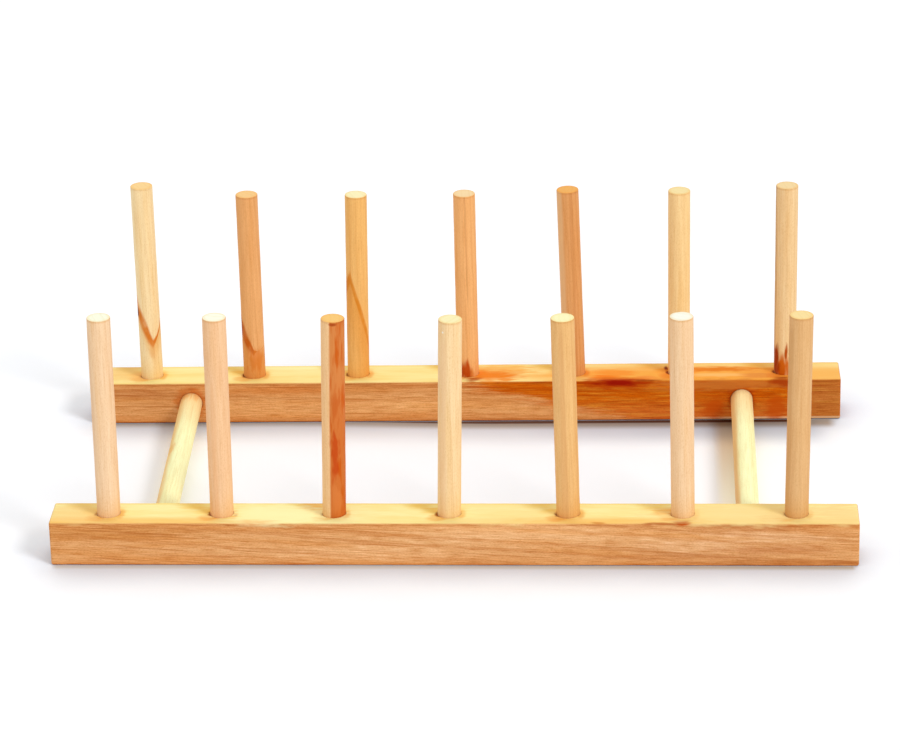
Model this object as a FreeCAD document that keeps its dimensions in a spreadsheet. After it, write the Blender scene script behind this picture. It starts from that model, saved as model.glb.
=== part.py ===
import FreeCAD, Part
import Sketcher
import os

# A wooden plate rack that stands on a table: two square rails, a row of round pegs glued
# upright in each rail, and two round dowels glued across between the rails.
#
# Millimetres and degrees. +X runs along the rails, +Y from the front rail to the rear rail,
# +Z up. The origin is on the table top, in the middle of the rack's outline.

# Each value is set by itself. Alias, value, what it is.
DRIVING_SIZES = [
    ("rail_width", 20, "rail, front to back"),
    ("rail_height", 20, "rail, table to top face"),
    ("rail_edge_round", 0.6, "radius of the rails' sanded edges"),
    ("rail_end_margin", 24.5, "end peg's centre to the rail's end"),
    ("rail_spacing", 147, "middle of the front rail to middle of the rear rail"),
    ("rail_end_offset", 1.2, "rear rail further left than the front rail"),
    ("rear_rail_skew", 0.85, "degrees that the rear rail's right end is turned back"),
    ("peg_pitch", 48.5, "peg centre to peg centre along a rail"),
    ("peg_diameter", 10, "round peg"),
    ("peg_length", 104, "all pegs are cut to this length"),
    ("peg_end_chamfer", 0.4, "eased edge at both ends of a peg"),
    ("cross_dowel_diameter", 10, "round dowel between the rails"),
    ("cross_dowel_depth", 12, "how far a cross dowel goes into each rail"),
    ("cross_dowel_end_chamfer", 0.4, "eased edge at both ends of a cross dowel"),
    ("front_dowel_from_end_peg", 21.3, "end peg to cross dowel along the front rail"),
    ("rear_dowel_from_end_peg", 20.3, "end peg to cross dowel along the rear rail"),
    ("glue_gap", 0.15, "all round each peg and dowel in its hole"),
]

# How each peg hole was drilled by hand, from the left: its shift along the rail from the
# even pitch, the lean of its top to the right in degrees, and the wood left under it.
PEG_HOLES = {
    "front": [
        (0.0, 0.5, 5.5),
        (-0.5, 0.5, 5.5),
        (-1.5, 1.5, 5.0),
        (-1.5, 1.5, 4.5),
        (0.0, -1.0, 5.0),
        (-0.5, -0.5, 5.5),
        (-1.5, 0.5, 6.0),
    ],
    "rear": [
        (2.0, 0.0, 8.5),
        (0.5, 0.0, 4.0),
        (-0.5, 1.0, 3.5),
        (1.0, 0.0, 3.5),
        (1.0, -1.5, 5.0),
        (0.0, 0.0, 4.0),
        (-0.5, 0.0, 6.0),
    ],
}
PEGS_PER_RAIL = len(PEG_HOLES["front"])
MIDDLE_PEG = (PEGS_PER_RAIL + 1) / 2
LEFT = -1
RIGHT = 1

# Turns of a cylinder's own axis, which is drawn along +Z
ALONG_Y = "rotation(vector(1; 0; 0); -90)"
AGAINST_Y = "rotation(vector(1; 0; 0); 90)"

doc = FreeCAD.newDocument("plate_rack")
sheet = doc.addObject("Spreadsheet::Sheet", "sizes")
parts = []


def add_cell(alias, value, note):
    """Add a row to the sheet: what the size is, and its value under its alias."""
    row = len(sheet.getUsedCells()) // 2 + 1
    sheet.set(f"A{row}", note)
    sheet.set(f"B{row}", str(value))
    sheet.setAlias(f"B{row}", alias)


def fill_sheet():
    """Enter the driving sizes, and the sizes and places that follow from them."""
    for alias, value, note in DRIVING_SIZES:
        add_cell(alias, value, note)
    for row_name, holes in PEG_HOLES.items():
        for number, (shift, lean, floor) in enumerate(holes, 1):
            peg = f"{row_name}_peg_{number}"
            add_cell(f"{peg}_shift", shift, f"{peg}, off the even pitch")
            add_cell(f"{peg}_lean", lean, f"{peg}, top to the right")
            add_cell(f"{peg}_floor", floor, f"{peg}, wood left under the hole")
    doc.recompute()

    pitches = PEGS_PER_RAIL - 1
    add_cell("rail_length", f"={pitches} * peg_pitch + 2 * rail_end_margin", "rail, end to end")
    doc.recompute()
    add_cell("skew_run", "=rail_length / 2 * sin(rear_rail_skew)", "rear rail's end, moved back")
    doc.recompute()
    add_cell("front_rail_x", "=rail_end_offset / 2", "front rail's middle")
    add_cell("front_rail_y", "=-(rail_spacing + skew_run) / 2", "front rail's middle")
    add_cell("rear_rail_x", "=-rail_end_offset / 2", "rear rail's middle")
    add_cell("rear_rail_y", "=(rail_spacing - skew_run) / 2", "rear rail's middle")
    for row_name in PEG_HOLES:
        along = f"={pitches / 2} * peg_pitch - {row_name}_dowel_from_end_peg"
        add_cell(f"{row_name}_dowel_x", along, f"{row_name} rail's middle to a cross dowel")
    doc.recompute()
    for name, side in (("left", LEFT), ("right", RIGHT)):
        add_dowel_cells(name, side)


def add_dowel_cells(name, side):
    """Work out where a cross dowel leaves each rail's inner face, its turn and its span."""
    along = f"{side} * rear_dowel_x"
    front_x = f"=front_rail_x + {side} * front_dowel_x"
    front_y = "=front_rail_y + rail_width / 2"
    rear_x = f"=rear_rail_x + {along} * cos(rear_rail_skew) + rail_width / 2 * sin(rear_rail_skew)"
    rear_y = f"=rear_rail_y + {along} * sin(rear_rail_skew) - rail_width / 2 * cos(rear_rail_skew)"
    add_cell(f"{name}_front_mouth_x", front_x, f"{name} dowel at the front rail's inner face")
    add_cell(f"{name}_front_mouth_y", front_y, f"{name} dowel at the front rail's inner face")
    add_cell(f"{name}_rear_mouth_x", rear_x, f"{name} dowel at the rear rail's inner face")
    add_cell(f"{name}_rear_mouth_y", rear_y, f"{name} dowel at the rear rail's inner face")
    doc.recompute()
    run_x = f"{name}_rear_mouth_x - {name}_front_mouth_x"
    run_y = f"{name}_rear_mouth_y - {name}_front_mouth_y"
    turn = f"=atan2(-({run_x}); {run_y}) / 1 deg"
    add_cell(f"{name}_dowel_turn", turn, f"{name} dowel, degrees turned from +Y")
    add_cell(f"{name}_dowel_span", f"=hypot({run_x}; {run_y})", f"{name} dowel, between the rails")
    doc.recompute()


def own_plane(body, role):
    """Give one of the body's own origin planes by its role, such as XY_Plane."""
    return next(item for item in body.Origin.OriginFeatures if item.Role == role)


def add_body(label, placement):
    """Add a sub-part whose place follows the sheet."""
    body = doc.addObject("PartDesign::Body", label)
    body.Label = label
    body.setExpression("Placement", placement)
    parts.append(body)
    return body


def add_sketch(body, name, role):
    """Add an empty sketch on one of the body's own origin planes."""
    sketch = body.newObject("Sketcher::SketchObject", name)
    sketch.AttachmentSupport = (own_plane(body, role), "")
    sketch.MapMode = "FlatFace"
    return sketch


def bind(sketch, name, cell, *constraint):
    """Add a dimension to a sketch and tie it to a cell of the sheet."""
    index = sketch.addConstraint(Sketcher.Constraint(*constraint))
    sketch.renameConstraint(index, name)
    sketch.setExpression(f"Constraints.{name}", f"sizes.{cell}")


def draw_rail_end(sketch):
    """Draw a rail's square end, centred across the rail and standing on the table."""
    width = sheet.rail_width
    height = sheet.rail_height
    corners = [
        FreeCAD.Vector(-width / 2, 0, 0),
        FreeCAD.Vector(width / 2, 0, 0),
        FreeCAD.Vector(width / 2, height, 0),
        FreeCAD.Vector(-width / 2, height, 0),
    ]
    for start, end in zip(corners, corners[1:] + corners[:1]):
        sketch.addGeometry(Part.LineSegment(start, end))
    bottom, right, top, left = range(4)
    for line in (bottom, right, top, left):
        sketch.addConstraint(Sketcher.Constraint("Coincident", line, 2, (line + 1) % 4, 1))
    for line in (bottom, top):
        sketch.addConstraint(Sketcher.Constraint("Horizontal", line))
    for line in (right, left):
        sketch.addConstraint(Sketcher.Constraint("Vertical", line))
    sketch.addConstraint(Sketcher.Constraint("Symmetric", bottom, 1, bottom, 2, -1, 1))
    bind(sketch, "width", "rail_width", "DistanceX", bottom, 1, bottom, 2, width)
    bind(sketch, "height", "rail_height", "DistanceY", right, 1, right, 2, height)


def add_rail(row_name, placement):
    """Add a rail blank: padded both ways from its middle, with every edge sanded round."""
    label = f"{row_name}_rail"
    body = add_body(label, placement)
    sketch = add_sketch(body, f"{label}_end", "YZ_Plane")
    draw_rail_end(sketch)
    pad = body.newObject("PartDesign::Pad", f"{label}_blank")
    pad.Profile = sketch
    pad.SideType = "Symmetric"
    pad.setExpression("Length", "sizes.rail_length")
    doc.recompute()
    sanded = body.newObject("PartDesign::Fillet", f"{label}_sanded")
    sanded.Base = (pad, [])
    sanded.UseAllEdges = True
    sanded.setExpression("Radius", "sizes.rail_edge_round")
    doc.recompute()
    return body


def drill(body, name, seat, diameter, depth):
    """Drill a blind hole. Seat is the middle of its floor, with the hole running along +Z.

    The hole is the glue gap wider than what goes in, and runs on past the rail's face.
    """
    blank = body.Tip
    hole = body.newObject("PartDesign::SubtractiveCylinder", name)
    hole.AttachmentSupport = (own_plane(body, "XY_Plane"), "")
    hole.MapMode = "FlatFace"
    hole.setExpression("AttachmentOffset", seat)
    hole.setExpression("Radius", f"sizes.{diameter} / 2 + sizes.glue_gap")
    hole.setExpression("Height", f"{depth} + sizes.{diameter}")
    doc.recompute()
    if not hole.Shape.Volume < blank.Shape.Volume:
        raise RuntimeError(f"{name} cuts nothing from {body.Label}")


def add_round_piece(label, placement, diameter, length, chamfer):
    """Add a round piece that runs up +Z from its seat, with both end edges eased."""
    body = add_body(label, placement)
    sketch = add_sketch(body, f"{label}_round", "XY_Plane")
    radius = getattr(sheet, diameter) / 2
    centre = FreeCAD.Vector(0, 0, 0)
    upwards = FreeCAD.Vector(0, 0, 1)
    sketch.addGeometry(Part.Circle(centre, upwards, radius))
    sketch.addConstraint(Sketcher.Constraint("Coincident", 0, 3, -1, 1))
    bind(sketch, "diameter", diameter, "Diameter", 0, 2 * radius)
    pad = body.newObject("PartDesign::Pad", f"{label}_blank")
    pad.Profile = sketch
    pad.setExpression("Length", length)
    doc.recompute()
    rims = [
        f"Edge{number}"
        for number, edge in enumerate(pad.Shape.Edges, 1)
        if isinstance(edge.Curve, Part.Circle)
    ]
    eased = body.newObject("PartDesign::Chamfer", f"{label}_eased")
    eased.Base = (pad, rims)
    eased.setExpression("Size", f"sizes.{chamfer}")
    doc.recompute()


def rail_placement(row_name):
    """Give a rail's place on the table. Only the rear rail is skewed."""
    turn = "sizes.rear_rail_skew" if row_name == "rear" else "0"
    middle = f"vector(sizes.{row_name}_rail_x; sizes.{row_name}_rail_y; 0)"
    return f"placement({middle}; rotation(vector(0; 0; 1); {turn}))"


def peg_seat(row_name, number):
    """Give the floor of a peg's hole, in its rail's own frame.

    The leaning peg's middle line leaves the rail's top face at the pitch and its shift.
    """
    peg = f"sizes.{row_name}_peg_{number}"
    along = f"{number - MIDDLE_PEG} * sizes.peg_pitch + {peg}_shift"
    lean_run = f"(sizes.rail_height - {peg}_floor) * tan({peg}_lean)"
    floor = f"vector({along} - {lean_run}; 0; {peg}_floor)"
    return f"placement({floor}; rotation(vector(0; 1; 0); {peg}_lean))"


def add_peg_row(rail, row_name):
    """Drill a rail's peg holes, and stand a peg in each."""
    for number in range(1, PEGS_PER_RAIL + 1):
        label = f"{row_name}_peg_{number}"
        seat = peg_seat(row_name, number)
        depth = f"(sizes.rail_height - sizes.{label}_floor)"
        drill(rail, f"{label}_hole", seat, "peg_diameter", depth)
        placement = f"{rail_placement(row_name)} * {seat}"
        add_round_piece(label, placement, "peg_diameter", "sizes.peg_length", "peg_end_chamfer")


def add_cross_dowel(name, side, front_rail, rear_rail):
    """Drill both rails for a cross dowel, and lay the dowel between the two holes' floors."""
    label = f"{name}_cross_dowel"
    turn = f"sizes.{name}_dowel_turn"
    depth = "sizes.cross_dowel_depth"
    level = "sizes.rail_height / 2"
    face = "sizes.rail_width / 2"

    front_turn = f"rotation(vector(0; 0; 1); {turn})"
    floor_x = f"{side} * sizes.front_dowel_x + {depth} * sin({turn})"
    floor_y = f"{face} - {depth} * cos({turn})"
    front_floor = f"vector({floor_x}; {floor_y}; {level})"
    front_seat = f"placement({front_floor}; {front_turn} * {ALONG_Y})"
    drill(front_rail, f"{label}_front_hole", front_seat, "cross_dowel_diameter", depth)

    rear_turn = f"({turn} - sizes.rear_rail_skew)"
    floor_x = f"{side} * sizes.rear_dowel_x - {depth} * sin({rear_turn})"
    floor_y = f"{depth} * cos({rear_turn}) - {face}"
    rear_floor = f"vector({floor_x}; {floor_y}; {level})"
    rear_seat = f"placement({rear_floor}; rotation(vector(0; 0; 1); {rear_turn}) * {AGAINST_Y})"
    drill(rear_rail, f"{label}_rear_hole", rear_seat, "cross_dowel_diameter", depth)

    placement = f"{rail_placement('front')} * {front_seat}"
    length = f"sizes.{name}_dowel_span + 2 * {depth}"
    add_round_piece(label, placement, "cross_dowel_diameter", length, "cross_dowel_end_chamfer")


def check_model():
    """Stop if anything failed to build."""
    for item in doc.Objects:
        if "Invalid" in item.State or "Error" in item.State:
            raise RuntimeError(f"{item.Label} failed to build: {item.State}")
    for body in parts:
        if body.Shape.isNull() or not body.Shape.isValid():
            raise RuntimeError(f"{body.Label} has no valid shape")
        if len(body.Shape.Solids) != 1:
            raise RuntimeError(f"{body.Label} isn't one solid")


fill_sheet()
rails = {row_name: add_rail(row_name, rail_placement(row_name)) for row_name in PEG_HOLES}
for row_name, rail in rails.items():
    add_peg_row(rail, row_name)
add_cross_dowel("left", LEFT, rails["front"], rails["rear"])
add_cross_dowel("right", RIGHT, rails["front"], rails["rear"])
doc.recompute()
check_model()

os.makedirs("parts", exist_ok=True)
for body in parts:
    body.Shape.exportStep(f"parts/{body.Label}.step")
    print(body.Label, round(body.Shape.Volume), "mm3")
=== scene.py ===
import math
from collections import namedtuple

import bmesh
import bpy
import numpy as np
from bpy.props import FloatProperty, FloatVectorProperty, IntProperty, PointerProperty
from mathutils import Matrix, Vector


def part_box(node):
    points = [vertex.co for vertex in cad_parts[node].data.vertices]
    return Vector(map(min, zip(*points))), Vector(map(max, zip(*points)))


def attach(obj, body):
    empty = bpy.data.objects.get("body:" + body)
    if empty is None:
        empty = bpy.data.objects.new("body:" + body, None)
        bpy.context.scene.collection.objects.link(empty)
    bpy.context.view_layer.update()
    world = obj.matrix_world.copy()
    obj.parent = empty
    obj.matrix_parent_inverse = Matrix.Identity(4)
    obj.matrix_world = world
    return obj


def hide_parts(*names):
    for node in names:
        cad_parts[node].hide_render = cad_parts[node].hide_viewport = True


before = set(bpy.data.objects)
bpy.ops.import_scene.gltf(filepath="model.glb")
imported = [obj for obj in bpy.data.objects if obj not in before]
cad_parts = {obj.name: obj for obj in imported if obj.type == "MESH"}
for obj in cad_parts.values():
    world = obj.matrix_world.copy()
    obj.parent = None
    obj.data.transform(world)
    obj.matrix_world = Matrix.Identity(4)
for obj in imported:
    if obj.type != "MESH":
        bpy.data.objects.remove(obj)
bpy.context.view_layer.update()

# A wooden plate rack that stands on a table: two square rails, a row of round pegs in each,
# and two round dowels between them. Metres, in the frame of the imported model: +X along the
# rails, +Y from the front rail to the rear rail, +Z up. Wood is described in millimetres.

bl_info = {
    "name": "Plate Rack",
    "version": (1, 0, 0),
    "blender": (4, 5, 0),
    "location": "3D View > Sidebar > Plate Rack",
    "description": "Models the rails, pegs and cross dowels of a wooden plate rack",
    "category": "Object",
}

MM = 0.001
ROWS = ("front", "rear")
PEGS_PER_RAIL = 7
CROSS_DOWELS = ("left_cross_dowel", "right_cross_dowel")
SMOOTH_UNDER = math.radians(32)
RAIL_EDGE_STEPS = 4
RAIL_CUTS_ACROSS = 5
ROUND_EDGE_STEPS = 3
END_RINGS = 3
DRILL_SIDES = 56
CROSS_DRILL_SEED = 30
RAIL_WEAR_PATCH = 9 * MM
ROUND_WEAR_PATCH = 7 * MM
SENSOR_WIDTH = 36

# How many times as deep as the hole's flare a drill's is, so that it reaches out of the wood,
# and how ragged its rim is, as a share of how much wider it gets
FLARE_OVERSHOOT = 1.3
RIM_RAG = 0.2

# A straight piece: where its middle line starts, the way it runs and its length
Line = namedtuple("Line", "start direction length")


# ---- places from the frame


def round_line(node):
    """Read a round piece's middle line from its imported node, from the lower or front end."""
    corners = {tuple(round(c, 7) for c in v.co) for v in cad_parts[node].data.vertices}
    cloud = np.array(sorted(corners))
    middle = cloud.mean(axis=0)
    axis = np.linalg.svd(cloud - middle)[2][0]
    if axis[1] + axis[2] < 0:
        axis = -axis
    reach = (cloud - middle) @ axis
    return Line(Vector(middle + axis * reach.min()), Vector(axis), float(np.ptp(reach)))


def rail_size():
    """Give a rail's length, width and height. The front rail lies along X, so its box has them."""
    low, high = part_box("front_rail")
    return high - low


def rail_line(row):
    """Give a rail's middle line, from its left end."""
    low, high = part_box(f"{row}_rail")
    turn = bpy.context.scene.rack_sizes.rear_rail_turn if row == "rear" else 0.0
    direction = Vector((math.cos(turn), math.sin(turn), 0.0))
    length = rail_size().x
    return Line((low + high) / 2 - direction * length / 2, direction, length)


def own_turn(line):
    """Turn that lays a piece's own +Z along its middle line.

    A rail's own +X then points down, and a peg's or a cross dowel's own +X points right.
    """
    aim = Vector((0, 0, -1)) if abs(line.direction.x) > 0.7 else Vector((1, 0, 0))
    side = line.direction.cross(aim).normalized()
    across = side.cross(line.direction)
    return Matrix((across, side, line.direction)).transposed().to_quaternion()


def placing(line):
    """Matrix that carries a piece from its own axes to its place."""
    return Matrix.Translation(line.start) @ own_turn(line).to_matrix().to_4x4()


# ---- bench tools


def clear_selection():
    """Deselect every object, and leave edit mode if it is on."""
    if bpy.context.mode != "OBJECT":
        bpy.ops.object.mode_set(mode="OBJECT")
    bpy.ops.object.select_all(action="DESELECT")


def take(piece):
    """Make a piece the only one selected."""
    clear_selection()
    piece.select_set(True)
    bpy.context.view_layer.objects.active = piece


def pick(kind, wanted):
    """In edit mode, select just the edges or faces that are wanted."""
    bpy.ops.mesh.select_mode(type=kind)
    bpy.ops.mesh.select_all(action="DESELECT")
    mesh = bmesh.from_edit_mesh(bpy.context.object.data)
    for item in mesh.edges if kind == "EDGE" else mesh.faces:
        if wanted(item):
            item.select_set(True)
    mesh.select_flush_mode()
    bmesh.update_edit_mesh(bpy.context.object.data)


def runs_along(edge, axis, least):
    """Tell whether an edge lies along an axis and is at least so long."""
    step = edge.verts[1].co - edge.verts[0].co
    return abs(step[axis]) > 0.999 * step.length and step.length > least


def apply_modifier(piece, name, kind, **settings):
    """Add a modifier to a piece and apply it at once."""
    take(piece)
    modifier = piece.modifiers.new(name, kind)
    for setting, value in settings.items():
        setattr(modifier, setting, value)
    bpy.ops.object.modifier_apply(modifier=modifier.name)


def wear_surface(piece, depth, patch):
    """Sink a piece's surface unevenly, by up to the depth, in soft patches of about one size."""
    texture = bpy.data.textures.new(f"{piece.name}_wear", "CLOUDS")
    texture.noise_scale = patch
    texture.noise_depth = 2
    apply_modifier(
        piece, "wear", "DISPLACE", texture=texture, texture_coords="LOCAL", strength=depth, mid_level=1.0
    )
    bpy.data.textures.remove(texture)


def settle(piece, line):
    """Carry a piece from its own axes to its place, and keep that place in its mesh."""
    take(piece)
    piece.matrix_world = placing(line)
    bpy.ops.object.transform_apply(location=True, rotation=True, scale=True)


def finish_piece(piece, node, look):
    """Smooth a piece, give it its wood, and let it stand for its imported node."""
    take(piece)
    bpy.ops.object.shade_smooth_by_angle(angle=SMOOTH_UNDER)
    piece.data.materials.clear()
    piece.data.materials.append(look)
    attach(piece, "root")
    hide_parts(node)


# ---- rails


def plane_rail(name):
    """Plane a square rail with eased edges, along its own +Z, with its height along its -X."""
    sizes = bpy.context.scene.rack_sizes
    length, width, height = rail_size()
    clear_selection()
    bpy.ops.mesh.primitive_cube_add(
        size=1, location=(0, 0, length / 2), scale=(height, width, length)
    )
    rail = bpy.context.object
    rail.name = name
    bpy.ops.object.transform_apply(location=True, rotation=True, scale=True)
    bpy.ops.object.mode_set(mode="EDIT")
    bpy.ops.mesh.select_all(action="SELECT")
    bpy.ops.mesh.bevel(offset=sizes.rail_edge_ease, segments=RAIL_EDGE_STEPS, affect="EDGES")
    pick("EDGE", lambda edge: runs_along(edge, 2, length / 2))
    bpy.ops.mesh.subdivide(number_cuts=sizes.rail_cuts)
    for axis in (0, 1):
        pick("EDGE", lambda edge: runs_along(edge, axis, width / 2))
        bpy.ops.mesh.subdivide(number_cuts=RAIL_CUTS_ACROSS)
    bpy.ops.object.mode_set(mode="OBJECT")
    wear_surface(rail, sizes.rail_wear, RAIL_WEAR_PATCH)
    return rail


def make_drill(name, radius, depth, mouth_shift, seed):
    """Make the shape that a drilled hole takes out, up its own +Z from the hole's floor.

    The mouth lies at the depth. There the hole opens out a little, more to one side, and its
    rim is ragged.
    """
    sizes = bpy.context.scene.rack_sizes
    mouth = sizes.hole_mouth
    flare = sizes.hole_flare
    clear_selection()
    bpy.ops.mesh.primitive_cylinder_add(
        vertices=DRILL_SIDES, radius=radius, depth=depth - flare, location=(0, 0, (depth - flare) / 2)
    )
    drill = bpy.context.object
    drill.name = name
    bpy.ops.object.transform_apply(location=True, rotation=True, scale=True)
    bpy.ops.object.mode_set(mode="EDIT")
    pick("FACE", lambda face: face.normal.z > 0.9)
    bpy.ops.mesh.extrude_region_move(TRANSFORM_OT_translate={"value": (0, 0, FLARE_OVERSHOOT * flare)})
    wider = 1 + mouth / radius
    bpy.ops.transform.resize(value=(wider, wider, 1), center_override=(0, 0, depth))
    bpy.ops.transform.translate(value=(mouth_shift, 0, 0))
    bpy.ops.transform.vertex_random(offset=RIM_RAG * mouth, uniform=1, seed=seed)
    bpy.ops.mesh.extrude_region_move(TRANSFORM_OT_translate={"value": (0, 0, radius)})
    bpy.ops.mesh.select_all(action="SELECT")
    bpy.ops.mesh.normals_make_consistent(inside=False)
    bpy.ops.object.mode_set(mode="OBJECT")
    return drill


def drill_rail(rail, row, line):
    """Drill a placed rail for its pegs and the two cross dowels."""
    sizes = bpy.context.scene.rack_sizes
    rail_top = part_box(f"{row}_rail")[1].z
    drills = []
    for number in range(1, PEGS_PER_RAIL + 1):
        peg = round_line(f"{row}_peg_{number}")
        depth = (rail_top - peg.start.z) / peg.direction.z
        radius = sizes.peg_diameter / 2 + sizes.glue_gap
        seed = number + PEGS_PER_RAIL * ROWS.index(row)
        drill = make_drill(f"{row}_drill_{number}", radius, depth, -sizes.mouth_shift, seed)
        settle(drill, peg)
        drills.append(drill)
    for number, node in enumerate(CROSS_DOWELS):
        dowel = round_line(node)
        side = Vector((-line.direction.y, line.direction.x, 0.0))
        if row == "rear":
            dowel = Line(dowel.start + dowel.direction * dowel.length, -dowel.direction, dowel.length)
            side.negate()
        face = line.start + side * rail_size().y / 2
        depth = (face - dowel.start).dot(side) / dowel.direction.dot(side)
        radius = sizes.dowel_diameter / 2 + sizes.glue_gap
        seed = CROSS_DRILL_SEED + number
        drill = make_drill(f"{row}_cross_drill_{number}", radius, depth, sizes.mouth_shift / 2, seed)
        settle(drill, dowel)
        drills.append(drill)
    clear_selection()
    for drill in drills:
        drill.select_set(True)
    bpy.context.view_layer.objects.active = drills[0]
    bpy.ops.object.join()
    apply_modifier(rail, "holes", "BOOLEAN", operation="DIFFERENCE", solver="EXACT", object=drills[0])
    bpy.data.objects.remove(drills[0])


# ---- pegs and dowels


def turn_round(name, diameter, length, ease):
    """Turn a round stick up its own +Z, with eased ends and rings of faces on its end grain."""
    sizes = bpy.context.scene.rack_sizes
    clear_selection()
    bpy.ops.mesh.primitive_cylinder_add(
        vertices=sizes.round_sides, radius=diameter / 2, depth=length, location=(0, 0, length / 2)
    )
    stick = bpy.context.object
    stick.name = name
    bpy.ops.object.transform_apply(location=True, rotation=True, scale=True)
    bpy.ops.object.mode_set(mode="EDIT")
    pick("EDGE", lambda edge: not runs_along(edge, 2, length / 2))
    bpy.ops.mesh.bevel(offset=ease, segments=ROUND_EDGE_STEPS, affect="EDGES")
    pick("EDGE", lambda edge: runs_along(edge, 2, length / 2))
    bpy.ops.mesh.subdivide(number_cuts=sizes.round_cuts)
    pick("FACE", lambda face: abs(face.normal.z) > 0.99 and face.calc_area() > diameter**2 / 4)
    for _ in range(END_RINGS):
        bpy.ops.mesh.inset(thickness=diameter / 8)
    bpy.ops.mesh.poke()
    bpy.ops.object.mode_set(mode="OBJECT")
    return stick


def copy_of(piece, name):
    """Copy a piece, with a mesh of its own."""
    copy = piece.copy()
    copy.data = piece.data.copy()
    copy.name = name
    bpy.context.scene.collection.objects.link(copy)
    return copy


# ---- nodes


def shade(code):
    """Turn a colour's written form, such as F6D1A7, into linear red, green and blue."""
    values = [int(code[start:start + 2], 16) / 255 for start in (0, 2, 4)]
    return tuple(v / 12.92 if v <= 0.04045 else ((v + 0.055) / 1.055) ** 2.4 for v in values)


class NodeBench:
    """A tree of nodes. Each method adds a node and gives the socket it makes."""

    def __init__(self, tree):
        self.nodes = tree.nodes
        self.links = tree.links

    def plug(self, socket, value):
        """Link a socket to another one, or set its value."""
        if isinstance(value, bpy.types.NodeSocket):
            self.links.new(value, socket)
        else:
            socket.default_value = value

    def plug_all(self, node, values):
        """Link or set a node's first inputs, in order."""
        for socket, value in zip(node.inputs, values):
            self.plug(socket, value)

    def math(self, operation, *values):
        """Do sums on numbers."""
        node = self.nodes.new("ShaderNodeMath")
        node.operation = operation
        self.plug_all(node, values)
        return node.outputs["Value"]

    def vector(self, operation, *values):
        """Do sums on places and directions."""
        node = self.nodes.new("ShaderNodeVectorMath")
        node.operation = operation
        self.plug_all(node, values)
        one_number = operation in ("DOT_PRODUCT", "LENGTH")
        return node.outputs["Value" if one_number else "Vector"]

    def both(self, *factors):
        """Multiply masks."""
        result = factors[0]
        for factor in factors[1:]:
            result = self.math("MULTIPLY", result, factor)
        return result

    def spread(self, value, low, high, bottom=0.0, top=1.0):
        """Ease a value from one range onto another, and stop at its ends."""
        node = self.nodes.new("ShaderNodeMapRange")
        node.interpolation_type = "SMOOTHSTEP"
        self.plug_all(node, (value, low, high, bottom, top))
        return node.outputs["Result"]

    def fade(self, value, low, high):
        """Ease from 1 down to 0 as a value goes from low to high."""
        return self.spread(value, low, high, 1.0, 0.0)

    def mix(self, factor, colour, other, blend="MIX"):
        """Mix two colours by a factor."""
        node = self.nodes.new("ShaderNodeMix")
        node.data_type = "RGBA"
        node.blend_type = blend
        self.plug(node.inputs["Factor"], factor)
        for socket, value in ((node.inputs[6], colour), (node.inputs[7], other)):
            self.plug(socket, value if isinstance(value, bpy.types.NodeSocket) else (*value, 1))
        return node.outputs[2]

    def tint(self, factor, colour, other):
        """Multiply a colour by another, by a factor."""
        return self.mix(factor, colour, other, "MULTIPLY")

    def tint_where(self, value, low, high, strength, colour, other):
        """Tint a colour up to a strength, as a value goes from low to high."""
        return self.tint(self.spread(value, low, high, 0.0, strength), colour, other)


# ---- wood

# How rough the woods are, and how strongly their surfaces shine
ROUND_ROUGHNESS = 0.58
ROUND_GLOSS = 0.1
RAIL_ROUGHNESS = 0.62
RAIL_GLOSS = 0.04

# Where the noise of each wood starts. Each next peg or cross dowel starts a step further on.
PEG_SEED_STEP = 6
DOWEL_SEED = 150
DOWEL_SEED_STEP = 7
RAIL_SEEDS = {"front": 90, "rear": 120}
EDGE_SEED = 71
HEART_SEED = 130


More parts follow.
